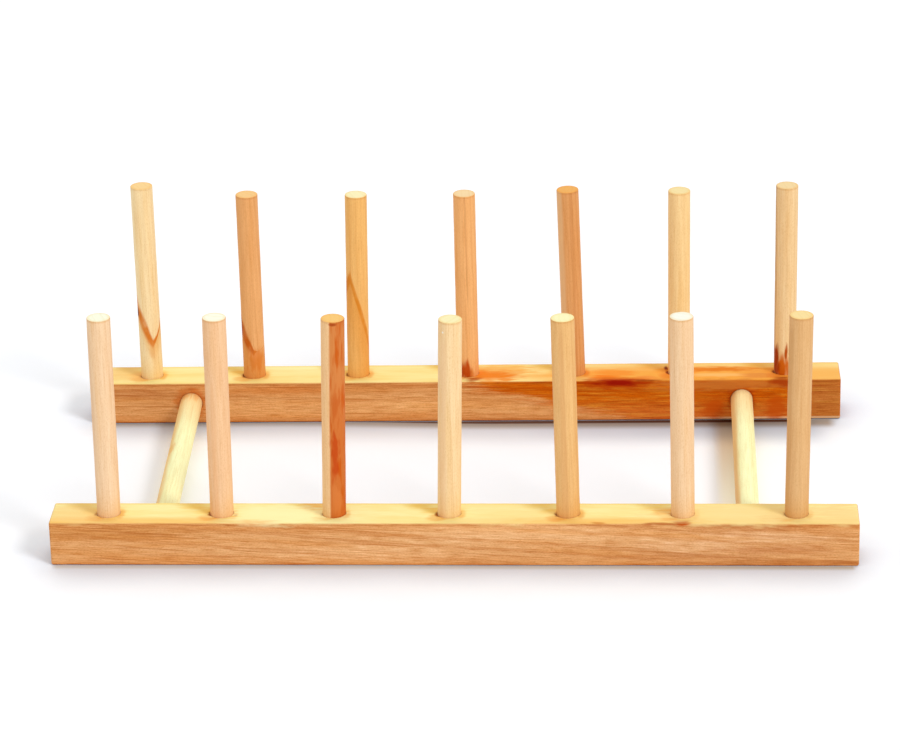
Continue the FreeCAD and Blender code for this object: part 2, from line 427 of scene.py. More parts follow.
class Wood(NodeBench):
    """One piece's wood, built as nodes.

    Its patterns are in the piece's own axes in millimetres, with the grain along +Z, or off it
    towards +X by a slope.
    """

    def __init__(self, name, slot, line, slope=0.0):
        self.material = bpy.data.materials.new(name)
        self.material["slot"] = slot
        self.material.use_nodes = True
        super().__init__(self.material.node_tree)
        self.nodes.clear()
        coordinates = self.nodes.new("ShaderNodeTexCoord")
        place = self.nodes.new("ShaderNodeMapping")
        place.vector_type = "TEXTURE"
        self.plug(place.inputs["Vector"], coordinates.outputs["Object"])
        self.plug(place.inputs["Location"], line.start)
        self.plug(place.inputs["Rotation"], own_turn(line).to_euler())
        self.plug(place.inputs["Scale"], (MM, MM, MM))
        self.place = place.outputs["Vector"]
        sloped = self.nodes.new("ShaderNodeMapping")
        self.plug(sloped.inputs["Vector"], self.place)
        self.plug(sloped.inputs["Rotation"], (0.0, -math.atan(slope), 0.0))
        self.sloped = sloped.outputs["Vector"]
        parts = self.nodes.new("ShaderNodeSeparateXYZ")
        self.plug(parts.inputs["Vector"], self.place)
        self.x, self.y, self.z = parts.outputs
        facing = self.vector("DOT_PRODUCT", coordinates.outputs["Normal"], line.direction)
        self.end = self.spread(self.math("ABSOLUTE", facing), 0.75, 0.95)

    def noise(self, across, along, seed, detail=2.0):
        """Give noise from 0 to 1 in blots about so many millimetres across and along the grain."""
        stretch = self.nodes.new("ShaderNodeMapping")
        self.plug(stretch.inputs["Vector"], self.sloped)
        self.plug(stretch.inputs["Location"], (7.3 * seed, 3.1 * seed, 5.7 * seed))
        self.plug(stretch.inputs["Scale"], (1 / across, 1 / across, 1 / along))
        noise = self.nodes.new("ShaderNodeTexNoise")
        self.plug(noise.inputs["Vector"], stretch.outputs["Vector"])
        self.plug(noise.inputs["Scale"], 1.0)
        self.plug(noise.inputs["Detail"], detail)
        return noise.outputs["Fac"]

    def rings(self, way, gap, seed):
        """Give the dark late wood of the growth rings, which lie square to a way."""
        wander = self.math("MULTIPLY", self.noise(7, 90, seed), 1.3 * gap)
        ripple = self.math("MULTIPLY", self.noise(1.6, 22, seed + 1), 0.3 * gap)
        across = self.vector("DOT_PRODUCT", self.sloped, Vector(way).normalized())
        across = self.math("ADD", self.math("ADD", across, wander), ripple)
        count = self.math("DIVIDE", across, gap)
        part = self.math("FRACT", count)
        year = self.nodes.new("ShaderNodeTexWhiteNoise")
        year.noise_dimensions = "1D"
        self.plug(year.inputs["W"], self.math("FLOOR", count))
        strength = self.spread(year.outputs["Value"], 0.0, 1.0, 0.2, 1.0)
        return self.both(self.spread(part, 0.3, 0.88), self.fade(part, 0.9, 1.0), strength)

    def vee(self, turn, up, left, right, arms=1):
        """Give the distance in millimetres above a V-shaped line drawn round a round piece.

        The tip is at a turn about the piece, in degrees from its own +X, and at a height. A
        quarter turn to either side the arms have climbed left and right, or fallen if arms is -1.
        """
        angle = self.math("ARCTAN2", self.y, self.x)
        away = self.math("WRAP", self.math("SUBTRACT", angle, math.radians(turn)), math.pi, -math.pi)
        quarter = math.pi / 2
        to_right = self.math("MULTIPLY", away, right / quarter)
        to_left = self.math("MULTIPLY", away, -left / quarter)
        arm = self.math("MULTIPLY", self.math("SMOOTH_MAX", to_right, to_left, 0.8), arms)
        ripple = self.spread(self.noise(2.5, 7, turn), 0.2, 0.8, -0.5, 0.5)
        climb = self.math("SUBTRACT", self.math("SUBTRACT", self.z, up), arm)
        slope = math.atan2((left + right) / 2, 5.0 * quarter)
        return self.math("MULTIPLY", self.math("ADD", climb, ripple), math.cos(slope))

    def spot(self, centre, radii, seed, rag=0.5, core=0.35):
        """Give a soft ragged blot about a point, from 1 in its core to 0 outside."""
        away = self.vector("DIVIDE", self.vector("SUBTRACT", self.place, centre), radii)
        ragged = self.spread(self.noise(1.6, 7, seed), 0.25, 0.75, -rag / 2, rag / 2)
        return self.fade(self.math("ADD", self.vector("LENGTH", away), ragged), core, 1.1)

    def close(self, colour, rings, fibres, roughness, gloss=ROUND_GLOSS):
        """Join the colour and the grain to the shader, with roughness and relief that follow them."""
        shader = self.nodes.new("ShaderNodeBsdfPrincipled")
        output = self.nodes.new("ShaderNodeOutputMaterial")
        self.plug(output.inputs["Surface"], shader.outputs["BSDF"])
        self.plug(shader.inputs["Base Color"], colour)
        self.plug(shader.inputs["Specular IOR Level"], gloss)
        rough = self.spread(fibres, 0.3, 0.7, roughness - 0.05, roughness + 0.07)
        rough = self.math("ADD", rough, self.math("MULTIPLY", self.end, 0.12))
        self.plug(shader.inputs["Roughness"], rough)
        relief = self.math("ADD", self.math("MULTIPLY", fibres, 0.8), self.math("MULTIPLY", rings, 0.4))
        bump = self.nodes.new("ShaderNodeBump")
        self.plug(bump.inputs["Strength"], 0.5)
        self.plug(bump.inputs["Distance"], 0.12 * MM)
        self.plug(bump.inputs["Height"], relief)
        self.plug(shader.inputs["Normal"], bump.outputs["Normal"])
        return self.material


# How strongly the rings, the broad changes of tone, the fibres, the long dark streaks and the
# pores show, from 0 to 1, and how many millimetres a fibre and a streak are across and along
Figure = namedtuple("Figure", "rings broad fibres streaks pores fibre_size streak_size")


def grain(wood, tone, way, gap, figure, seed):
    """Colour plain wood, whose rings face a way, a gap apart, and give its rings and fibres too."""
    late = wood.tint(1.0, tone, tuple(bpy.context.scene.rack_colours.late_wood))
    rings = wood.rings(way, gap, seed)
    colour = wood.mix(wood.both(rings, figure.rings), tone, late)
    broad = wood.noise(4, 60, seed + 2)
    colour = wood.tint_where(broad, 0.5, 0.68, figure.broad, colour, (0.96, 0.86, 0.70))
    colour = wood.tint_where(broad, 0.5, 0.32, figure.broad, colour, (1.03, 1.08, 1.14))
    fibres = wood.noise(*figure.fibre_size, seed + 3, 4.0)
    colour = wood.tint_where(fibres, 0.5, 0.68, figure.fibres, colour, (0.76, 0.58, 0.38))
    colour = wood.tint_where(fibres, 0.5, 0.34, figure.fibres, colour, (1.14, 1.26, 1.46))
    patches = wood.spread(wood.noise(5, 70, seed + 5), 0.4, 0.6, 0.15, 1.0)
    streaks = wood.both(wood.spread(wood.noise(*figure.streak_size, seed + 4), 0.54, 0.66), patches)
    colour = wood.mix(wood.both(streaks, figure.streaks), colour, late)
    pores = wood.noise(0.3, 0.9, seed + 9)
    colour = wood.tint_where(pores, 0.5, 0.72, figure.pores, colour, (0.84, 0.74, 0.60))
    colour = wood.tint_where(pores, 0.5, 0.28, figure.pores, colour, (1.08, 1.12, 1.20))
    return colour, rings, fibres


# Marks: each takes the wood and its colour so far, and gives the colour with the mark


def resin_vee(wood, colour, turn, up, left, right, widths, resin, below, arms=1, soft=0.2):
    """Draw a V of resin where a ring breaks the surface, with stained wood below it.

    The widths are those of its left arm and its right arm. The stain fades upwards over soft.
    """
    over = wood.vee(turn, up, left, right, arms)
    stain = wood.both(wood.spread(over, -below, 0.0), wood.fade(over, 0.2 - soft, 0.2))
    colour = wood.tint(stain, colour, (0.92, 0.74, 0.50))
    side = wood.vector("DOT_PRODUCT", wood.place, heading(turn + 90))
    width = wood.spread(side, -3.5, 2.0, *widths)
    away = wood.math("DIVIDE", wood.math("ABSOLUTE", over), width)
    uneven = wood.spread(wood.noise(3, 6, up), 0.3, 0.6, 0.7, 1.0)
    return wood.mix(wood.both(wood.fade(away, 0.3, 1.0), uneven), colour, shade(resin))


def heading(turn):
    """Give the way that faces a turn about a piece, in degrees from its own +X."""
    return Vector((math.cos(math.radians(turn)), math.sin(math.radians(turn)), 0.0))


def heart_side(wood, colour, edge, heart, darker, soft=0.3):
    """Turn the wood to heartwood on the right of an edge, in millimetres from the middle."""
    ripple = wood.spread(wood.noise(2, 40, edge), 0.2, 0.8, -0.15, 0.15)
    right = wood.spread(wood.math("ADD", wood.x, ripple), edge - soft, edge + soft)
    cloudy = wood.spread(wood.noise(3, 18, edge + 1, 3.0), 0.42, 0.68)
    fine = wood.spread(wood.noise(0.5, 10, edge + 2, 3.0), 0.3, 0.7, 0.0, 0.3)
    deep = wood.spread(wood.z, 95, 45, 0.0, 0.6)
    warm = wood.math("MAXIMUM", wood.math("MAXIMUM", cloudy, fine), deep)
    return wood.mix(right, colour, wood.mix(warm, shade(heart), shade(darker)))


def streak(wood, colour, middle, width, low, high, tone, strength):
    """Draw a straight streak up the front between two heights, fading at both."""
    ripple = wood.spread(wood.noise(3, 30, middle), 0.2, 0.8, -0.4, 0.4)
    away = wood.math("ABSOLUTE", wood.math("ADD", wood.math("SUBTRACT", wood.x, middle), ripple))
    band = wood.spread(away, 0.3 * width, width, strength, 0.0)
    ends = wood.both(wood.spread(wood.z, low, low + 8), wood.fade(wood.z, high - 8, high))
    return wood.mix(wood.both(band, ends), colour, shade(tone))


def knot(wood, colour, place, radii, tone, strength=1.0, rag=0.5):
    """Add a knot or a stain about a place."""
    seed = sum(place)
    return wood.mix(wood.both(wood.spot(place, radii, seed, rag), strength), colour, shade(tone))


# Each peg: its record slot, its tone, the tone of its end, and its rings: the angle of the way
# they face, how far they run out of the stick, their gap in millimetres and their depth
PegLook = namedtuple("PegLook", "slot tone top ring_turn run_out gap depth")
PEG_LOOKS = {
    "front_peg_1": PegLook("pale_peg_wood", "F9D4A9", "F9FAE1", 20, 0.02, 2.1, 0.22),
    "front_peg_2": PegLook("pale_peg_wood", "F8CA9B", "FBFCE6", 75, 0.04, 2.6, 0.25),
    "front_peg_3": PegLook("heartwood_peg_wood", "F9CD96", "F7C877", 12, 0.01, 1.8, 0.30),
    "front_peg_4": PegLook("pale_peg_wood", "FDDBA6", "F9EFBA", -30, 0.03, 2.3, 0.22),
    "front_peg_5": PegLook("golden_peg_wood", "F1BF7D", "FAF6C0", 5, 0.01, 2.2, 0.40),
    "front_peg_6": PegLook("pale_peg_wood", "F9D2A4", "FAFAEB", 60, 0.03, 2.8, 0.22),
    "front_peg_7": PegLook("golden_peg_wood", "E7B67C", "F8DE9E", 15, 0.01, 1.7, 0.35),
    "rear_peg_1": PegLook("pale_peg_wood", "FDE1AC", "F8D392", 30, 0.02, 2.4, 0.25),
    "rear_peg_2": PegLook("golden_peg_wood", "EDAF70", "F6CA88", 40, 0.03, 2.0, 0.35),
    "rear_peg_3": PegLook("golden_peg_wood", "F7C072", "F9EEBB", 25, 0.02, 2.3, 0.30),
    "rear_peg_4": PegLook("heartwood_peg_wood", "F7B875", "F5D7A5", 8, 0.01, 1.7, 0.35),
    "rear_peg_5": PegLook("heartwood_peg_wood", "E6A465", "F0B15F", 3, 0.01, 1.6, 0.40),
    "rear_peg_6": PegLook("pale_peg_wood", "FDD697", "F5E0A6", 50, 0.02, 2.4, 0.25),
    "rear_peg_7": PegLook("golden_peg_wood", "F6D099", "F3D7A1", 10, 0.01, 1.8, 0.35),
}

# The marks that a round piece has alone, in millimetres in its own axes. A streak has its
# middle, width, lower end, upper end, tone and strength. A knot has its place, radii, tone,
# strength and how ragged it is. A V of resin has its tip's turn and height, how far it climbs
# to the left and the right, both arms' widths, its tone, how far its stain reaches down, -1 if
# its arms fall, and how softly the stain ends. Half heartwood has its edge, two tones and how
# soft the edge is. A turn is in degrees from a peg's own +X, so that -90 faces the front. A
# cross dowel's own +Z runs from front to back, and up is -Y.
ROUND_MARKS = {
    "front_peg_1": [(streak, -4.6, 1.6, 2, 104, "E9BE96", 0.5)],
    "front_peg_2": [(streak, -1.5, 1.4, 10, 80, "F2B67E", 0.35)],
    "front_peg_3": [
        (heart_side, -1.1, "DC8C4A", "CE5E10", 0.45),
        (knot, (0.4, -4.9, 102.9), (2.2, 1.6, 0.8), "B4501A", 1.0, 0.2),
        (knot, (0.8, -4.9, 44), (2.4, 2.2, 13.0), "C64200", 0.8, 0.8),
        (knot, (1.4, -4.8, 66), (2.4, 2.2, 9.0), "C85810", 0.6, 0.8),
        (knot, (1.8, -4.6, 22), (3.6, 2.6, 9.0), "E08440", 0.6, 0.8),
    ],
    "front_peg_4": [
        (knot, (-2.9, -4.1, 99.5), (0.5, 0.6, 0.6), "FFF8EA", 1.0, 0.1),
        (streak, -2.6, 1.6, 5, 100, "F6C896", 0.4),
    ],
    "front_peg_5": [(streak, -0.8, 1.8, 4, 104, "DFA265", 0.35)],
    "front_peg_7": [(streak, -4.2, 1.2, 4, 104, "CF9A5E", 0.4)],
    "rear_peg_1": [
        (resin_vee, -66.6, 28.6, 18, 14, (2.9, 0.7), "DC7C26", 6.0),
        (knot, (-4.8, -1.4, 43.5), (1.4, 2.2, 3.4), "6A2606", 1.0, 0.3),
        (knot, (1.4, -4.8, 25.5), (1.8, 1.6, 4.0), "E8A860", 0.5),
    ],
    "rear_peg_2": [
        (resin_vee, -84, 28.6, 15, 3, (4.2, 0.05), "C8600E", 34, 1, 4.0),
        (knot, (-4.7, -1.2, 40.0), (1.2, 1.8, 5.0), "A24A12", 1.0, 0.3),
        (knot, (1.6, -4.3, 25.0), (4.8, 3.6, 7.5), "DC7C2C", 0.7, 0.9),
    ],
    "rear_peg_3": [(resin_vee, -124, 65.0, 12, 27, (1.7, 1.7), "E08A28", 22, -1)],
    "rear_peg_4": [
        (streak, 0.2, 0.4, 96, 116, "C87C46", 0.8),
        (streak, 0.8, 0.5, 50, 104, "D08A50", 0.4),
        (knot, (1.2, -4.4, 17.0), (3.4, 2.4, 4.0), "E0832E", 0.8),
        (knot, (-1.2, -4.7, 19.5), (4.2, 2.6, 6.5), "C4500A"),
        (knot, (-3.4, -3.6, 20.5), (1.5, 2.2, 4.5), "9C3804", 0.8),
    ],
    "rear_peg_5": [
        (streak, -4.2, 2.4, -8, 116, "F0C08A", 0.9),
        (streak, 1.4, 1.0, 10, 116, "CC8246", 0.4),
    ],
    "rear_peg_7": [
        (streak, -4.8, 0.8, -8, 116, "C08A50", 0.6),
        (knot, (-1.4, -4.6, 17.0), (4.6, 2.8, 8.0), "D26608", 1.0, 0.4),
        (knot, (-4.2, -2.8, 21.5), (1.8, 2.6, 8.0), "A43C00"),
        (knot, (-4.0, -3.0, 16.5), (3.4, 2.8, 5.5), "A83A00", 0.8),
        (knot, (0.4, -5.0, 24.5), (0.9, 1.6, 5.5), "B85008"),
    ],
    "left_cross_dowel": [
        (streak, -4.8, 3.4, 0, 155, "FACF88", 0.9),
        (knot, (-3.0, -3.8, 80), (2.0, 2.4, 7.0), "F3BE70", 0.8),
        # This warm patch at the rear end is painted light reflected from the rear rail
        (knot, (-1.0, -3.0, 144), (7.0, 7.0, 16.0), "F2A850", 0.8),
    ],
    "right_cross_dowel": [(streak, -4.8, 2.6, 0, 155, "F2C07A", 0.9)],
}


def add_marks(wood, colour, node):
    """Add the marks that a round piece has alone."""
    for mark, *numbers in ROUND_MARKS.get(node, ()):
        colour = mark(wood, colour, *numbers)
    return colour


def peg_wood(node, line):
    """Make a peg's wood, with what marks that peg alone."""
    look = PEG_LOOKS[node]
    wood = Wood(f"{node}_wood", look.slot, line)
    seed = PEG_SEED_STEP * list(PEG_LOOKS).index(node) + 1
    turn = math.radians(look.ring_turn)
    way = (math.cos(turn), math.sin(turn), look.run_out)
    figure = Figure(0.75 * look.depth, 0.5, 0.2, 0.1, 0.4, (0.5, 14), (0.8, 26))
    colour, rings, fibres = grain(wood, shade(look.tone), way, look.gap, figure, seed)
    colour = add_marks(wood, colour, node)
    out = rail_size().z / MM - line.start.z / MM
    # Painted shade: the peg is darker and warmer from about 14 mm above the rail's top down into it
    colour = wood.tint_where(wood.z, out + 14, out - 1, 0.6, colour, (0.96, 0.88, 0.70))
    length = line.length / MM
    colour = wood.tint_where(wood.z, length - 1.3, length - 0.4, 0.6, colour, (0.85, 0.72, 0.55))
    sawn = wood.tint(wood.both(rings, 0.3), shade(look.top), (0.92, 0.82, 0.62))
    from_middle = wood.math("SQRT", wood.math("ADD", wood.both(wood.x, wood.x), wood.both(wood.y, wood.y)))
    sawn = wood.tint_where(from_middle, 3.0, 4.9, 0.7, sawn, (0.99, 0.84, 0.62))
    return wood.close(wood.mix(wood.end, colour, sawn), rings, fibres, ROUND_ROUGHNESS)


def on_rail(along, back, up):
    """Give a rail's own place from millimetres along it, back from its middle and up."""
    return Vector((rail_size().z / MM / 2 - up, back, along))


# How far each rail's grain runs up along it
RAIL_SLOPES = {"front": 0.045, "rear": 0.0}

# Stains on each rail: millimetres along it, back from its middle and up, then how far it
# reaches down, across and along, its tone and its strength
RAIL_STAINS = {
    "front": (
        ((266, -8.9, 20), (1.6, 2.6, 4.6), "C8540E", 1.0),
        ((257, -9.8, 19.6), (0.8, 1.2, 10.0), "B8602A", 0.8),
        ((231, -9.2, 19.8), (0.8, 1.2, 4.0), "D08038", 0.7),
        ((78.6, -2.4, 20), (1.2, 1.2, 0.9), "B4682C", 0.8),
        # These two are painted shadow of the third front peg, warm, to its left and back on the rail's top
        ((111, 5.5, 20), (3.0, 5.5, 7.5), "FBB450", 0.7),
        ((114.5, 0.5, 20), (2.0, 3.2, 3.2), "DC8A34", 0.7),
        ((259.5, 1, 20), (3.0, 5.0, 7.0), "F2AA50", 0.6),
        ((304, -4, 20), (3.0, 5.0, 8.0), "F0B060", 0.6),
        ((88, -8.8, 20), (2.0, 2.6, 12.0), "F2B070", 0.6),
        ((11, 0, 20), (3.0, 13.0, 20.0), "F7CE84", 0.6),
        ((98, -1, 20), (3.0, 12.0, 32.0), "FBF6B8", 0.7),
        ((192, 0, 20), (3.0, 13.0, 26.0), "F8E096", 0.5),
        ((290, 0, 20), (3.0, 14.0, 46.0), "F8DC94", 0.8),
        ((334, -1, 20), (3.0, 12.0, 16.0), "F8D48C", 0.7),
    ),
    "rear": (
        ((184, 3, 20), (3.0, 8.0, 24.0), "F4AC48", 0.8),
        ((182, -3.5, 20), (3.0, 8.0, 16.0), "EC8420", 1.0),
        ((21, -2, 20), (3.0, 6.0, 6.0), "F2B464", 0.6),
        ((174, -7.5, 20), (2.0, 3.0, 4.0), "BC5410", 0.8),
        ((238, -2, 20), (3.0, 6.0, 12.0), "F48C28", 0.7),
        ((233, -6.5, 20), (3.0, 3.5, 9.0), "F07A10", 0.8),
        ((252, -7.0, 20), (3.0, 3.0, 7.0), "F0903A", 0.7),
        ((285, -10, 17.5), (3.6, 3.0, 38.0), "CF7C32", 0.7),
        # These two are partly heartwood and partly painted shade, low on the front face on both sides of
        # the right cross dowel
        ((283, -10, 6), (6.5, 3.0, 7.0), "C14C02", 0.8),
        ((311, -10, 6), (8.0, 3.0, 6.0), "C14C02", 0.8),
        ((241, -8.5, 20), (2.0, 3.0, 17.0), "D86A10", 0.8),
        ((239, -10, 18.6), (3.6, 3.0, 20.0), "B43C00", 0.9),
        ((240, -10, 18.7), (2.0, 2.4, 13.0), "981400", 1.0),
        ((252, -9.6, 19.8), (0.7, 1.0, 7.0), "A0480F", 0.8),
        ((283, -4.5, 20), (2.0, 2.6, 18.0), "FAC274", 0.7),
        ((284, 2.2, 20), (2.0, 3.6, 24.0), "E4801C", 1.0),
        ((302, -5.0, 20), (2.0, 4.5, 9.0), "E0883A", 0.7),
        # Painted shadow at the front left of the seventh rear peg's foot
        ((313, -9.5, 19), (3.0, 3.0, 6.0), "A83C06", 0.9),
        ((261.3, 3.4, 20), (1.6, 3.0, 1.25), "8A3402", 1.0),
        ((12, 3, 20), (3.0, 12.0, 18.0), "F3BE74", 0.6),
    ),
}

# Where each rail's front is paler or darker: millimetres along it and up, how far the patch
# reaches down and along, how it tints the wood and how much of it is its core
RAIL_PATCHES = {
    "front": (
        ((22, 15.5), (5.0, 62.0), (0.88, 0.78, 0.62), 0.3),
        ((202, 14.8), (6.5, 66.0), (1.12, 1.25, 1.45), 0.3),
        ((135, 5.5), (5.0, 46.0), (1.12, 1.24, 1.42), 0.3),
        ((268, 9.5), (4.0, 28.0), (1.07, 1.16, 1.35), 0.3),
        ((298, 13.5), (3.5, 36.0), (1.08, 1.20, 1.45), 0.3),
        ((292, 17.8), (2.4, 42.0), (0.88, 0.80, 0.76), 0.3),
        ((306, 7.6), (2.4, 34.0), (0.86, 0.76, 0.72), 0.3),
        ((270, 4.6), (2.2, 42.0), (0.90, 0.84, 0.82), 0.3),
        ((306, 1.6), (2.4, 44.0), (0.84, 0.76, 0.70), 0.3),
    ),
    "rear": (
        ((20, 15.4), (2.8, 24.0), (0.86, 0.76, 0.70), 0.3),
        ((86, 15.8), (3.0, 32.0), (0.97, 0.82, 0.66), 0.3),
        ((112, 7.5), (6.5, 80.0), (1.09, 1.12, 1.12), 0.4),
        ((147, 9.5), (5.5, 20.0), (1.08, 1.16, 1.24), 0.3),
        ((188, 7.0), (6.5, 30.0), (1.06, 1.12, 1.18), 0.3),
        # These two darker rings are painted shade round where the cross dowels go into the rear rail's
        # front face
        ((44.8, 10), (7.8, 7.8), (0.88, 0.62, 0.40), 0.72),
        ((295.2, 10), (7.0, 7.0), (0.80, 0.60, 0.45), 0.76),
        ((334, 10), (14.0, 14.0), (0.84, 0.84, 0.70), 0.6),
        ((334, 5), (6.0, 14.0), (0.95, 0.88, 0.74), 0.5),
    ),
}

# What is put on a rail's top round each hole mouth, tints and painted shadow: millimetres to the right of
# the hole and back of it, then how far the mark reaches down, across and along, how it tints the wood, its
# strength and how much of it is its core
MOUTH_TINTS_AND_SHADOWS = (
    # The first two rows are the peg's painted shadow, warm, falling to the left and back of it
    ((-7.5, 2.0), (3.0, 4.5, 6.0), (0.99, 0.76, 0.40), 0.9, 0.1),
    ((-12.0, 6.5), (3.0, 5.0, 9.0), (0.99, 0.76, 0.40), 0.9, 0.1),
    ((0.0, 0.0), (3.0, 7.6, 8.4), (0.98, 0.84, 0.62), 0.8, 0.6),
    ((-5.2, -5.0), (3.0, 4.0, 5.2), (0.95, 0.68, 0.48), 0.9, 0.4),
    ((5.2, -1.0), (3.0, 5.2, 2.2), (0.92, 0.68, 0.50), 0.9, 0.4),
    # Painted shadow in the gap at the hole's left rim
    ((-4.7, -1.2), (2.4, 2.8, 1.6), (0.42, 0.20, 0.09), 1.0, 0.4),
)


def rail_wood(row, line):
    """Make a rail's wood: a paler top that is partly its own wood and partly painted light, tints and
    painted shadows by the holes, painted contact shadow along its bottom, and heartwood in the rear rail.
    """
    colours = bpy.context.scene.rack_colours
    wood = Wood(f"{row}_rail_wood", "rail_wood", line, RAIL_SLOPES[row])
    seed = RAIL_SEEDS[row]
    half = rail_size().z / MM / 2
    side, top = tuple(colours.rail_side), tuple(colours.rail_top)
    if row == "rear":
        side, top = rear_heart(wood, colours, half)
    figure = Figure(0.5, 0.8, 0.8, 0.9, 0.8, (0.34, 8), (0.7, 40))
    colour, rings, fibres = grain(wood, side, (-0.92, 0.36, 0.02), 3.2, figure, seed)
    for number, ((along, up), (down, reach), patch, core) in enumerate(RAIL_PATCHES[row]):
        blot = wood.spot(on_rail(along, -half, up), (down, half, reach), seed + number, 0.4, core)
        colour = wood.tint(blot, colour, patch)
    rim = wood.spread(wood.math("ABSOLUTE", wood.x), 0.35 * half, 0.9 * half, 0.0, 0.6)
    colour = wood.tint(rim, colour, (1.0, 0.90, 0.74))
    # The top is much paler than the sides: partly its own paler wood, partly painted light for the
    # stronger light that falls on it from above
    pale_lit_top = wood.tint(wood.both(rings, 0.3), top, (0.98, 0.88, 0.70))
    pale_lit_top = wood.tint_where(fibres, 0.42, 0.7, 0.5, pale_lit_top, (0.98, 0.90, 0.74))
    cloudy = wood.spread(wood.noise(7, 40, seed + 6), 0.4, 0.65, 0.0, 0.8)
    pale_lit_top = wood.tint(cloudy, pale_lit_top, (0.99, 0.91, 0.78))
    if row == "front":
        ends = wood.math("MAXIMUM", wood.spread(wood.z, 88, 62), wood.spread(wood.z, 150, 205))
        ends = wood.both(ends, wood.spread(wood.z, 255, 310, 1.0, 0.5))
        strip = wood.both(wood.spread(wood.y, -2.5, -7.0), ends)
        pale_lit_top = wood.tint(strip, pale_lit_top, (1.0, 0.73, 0.52))
    else:
        pale_lit_top = wood.tint(wood.spread(wood.y, 0.0, 8.0), pale_lit_top, (1.0, 1.09, 1.24))
    back_edge = wood.spread(wood.y, 0.7 * half, 0.95 * half, 0.0, 0.8)
    pale_lit_top = wood.tint(back_edge, pale_lit_top, (0.98, 0.82, 0.52))
    colour = wood.mix(wood.fade(wood.x, -half + 0.1, -half + 0.7), colour, pale_lit_top)
    colour = edge_lines_and_shade(wood, row, colour, half)
    colour = tint_and_shade_mouths(wood, row, line, colour)
    for place, radii, tone, strength in RAIL_STAINS[row]:
        colour = knot(wood, colour, on_rail(*place), radii, tone, strength)
    sawn = wood.tint(wood.both(rings, 0.8), side, tuple(colours.late_wood))
    return wood.close(wood.mix(wood.end, colour, sawn), rings, fibres, RAIL_ROUGHNESS, RAIL_GLOSS)


def rear_heart(wood, colours, half):
    """Give the rear rail's side and top tones. Its heart comes in slantwise from the top edge."""
    wander = wood.spread(wood.noise(6, 40, HEART_SEED), 0.3, 0.7, -1.5, 1.5)
    depth = wood.math("ADD", wood.math("ADD", wood.x, half), wander)
    reached = wood.math("MULTIPLY", wood.math("SUBTRACT", wood.z, 163), 0.27)
    fine = wood.spread(wood.noise(0.6, 12, HEART_SEED + 2, 3.0), 0.3, 0.7, -2.0, 2.0)
    heart = wood.spread(wood.math("ADD", wood.math("SUBTRACT", reached, depth), fine), -2.5, 4.0)
    low = wood.spread(wood.x, -0.3 * half, half, 1.0, 0.8)
    heart = wood.both(heart, low, wood.spread(wood.z, 316, 328, 1.0, 0.65))
    streaky = wood.spread(wood.noise(0.6, 12, HEART_SEED + 1, 3.0), 0.45, 0.66, 0.0, 0.6)
    tone = wood.mix(streaky, tuple(colours.rail_heart), tuple(colours.rail_heart_pale))
    side = wood.mix(heart, tuple(colours.rear_rail_side), tone)
    along = wood.math("ADD", wood.z, wood.math("MULTIPLY", wander, 8))
    heart = wood.both(wood.spread(along, 176, 238), wood.spread(wood.y, -2, 9, 1.0, 0.45))
    heart = wood.both(heart, wood.spread(wood.z, 316, 328, 1.0, 0.75))
    return side, wood.mix(heart, tuple(colours.rear_rail_top), tuple(colours.rail_heart_top))


def edge_lines_and_shade(wood, row, colour, half):
    """Draw a rail's edges: a dark line under the top edge, a tinted lower edge, and painted contact shadow
    along the bottom edge.
    """
    uneven = wood.spread(wood.noise(3, 30, EDGE_SEED), 0.35, 0.65, 0.15, 0.6)
    under_top = wood.both(
        wood.spread(wood.x, -half + 0.6, -half + 1.0), wood.fade(wood.x, -half + 1.2, -half + 1.9)
    )
    colour = wood.tint(wood.both(under_top, uneven), colour, (0.72, 0.54, 0.38))
    lower = wood.spread(wood.x, half - 1.9, half - 1.1)
    if row == "front":
        colour = wood.tint(wood.both(lower, uneven), colour, (0.90, 0.68, 0.42))
        # Painted contact shadow along the front rail's bottom edge
        return wood.tint(wood.spread(wood.x, half - 0.4, half - 0.1), colour, (0.7, 0.6, 0.55))
    # Towards the right end the rear rail's lower edge turns pale: partly worn wood, partly painted light
    # from the floor on its eased edge
    pale_end = wood.spread(wood.z, 265, 285, 0.0, 0.9)
    colour = wood.tint(wood.both(lower, uneven), colour, (0.75, 0.52, 0.34))
    colour = wood.mix(wood.both(lower, pale_end), colour, shade("E2B98C"))
    # Painted contact shadow along the rear rail's bottom edge
    return wood.tint(wood.spread(wood.x, half - 0.8, half - 0.3), colour, (0.40, 0.22, 0.12))


def tint_and_shade_mouths(wood, row, line, colour):
    """Tint a rail's top round each peg hole: the peg's painted shadow, warm, at its left and back, warm
    patches round the hole, and painted shadow in the gap at its left rim.
    """
    height = rail_size().z
    for number in range(1, PEGS_PER_RAIL + 1):
        peg = round_line(f"{row}_peg_{number}")
        mouth = peg.start + peg.direction * ((height - peg.start.z) / peg.direction.z)
        along = (mouth - line.start).dot(line.direction) / MM
        for (right, back), radii, stain, strength, core in MOUTH_TINTS_AND_SHADOWS:
            place = on_rail(along + right, back, height / MM)
            blot = wood.spot(place, radii, number + core, 0.3, core)
            colour = wood.tint(wood.both(blot, strength), colour, stain)
    return colour


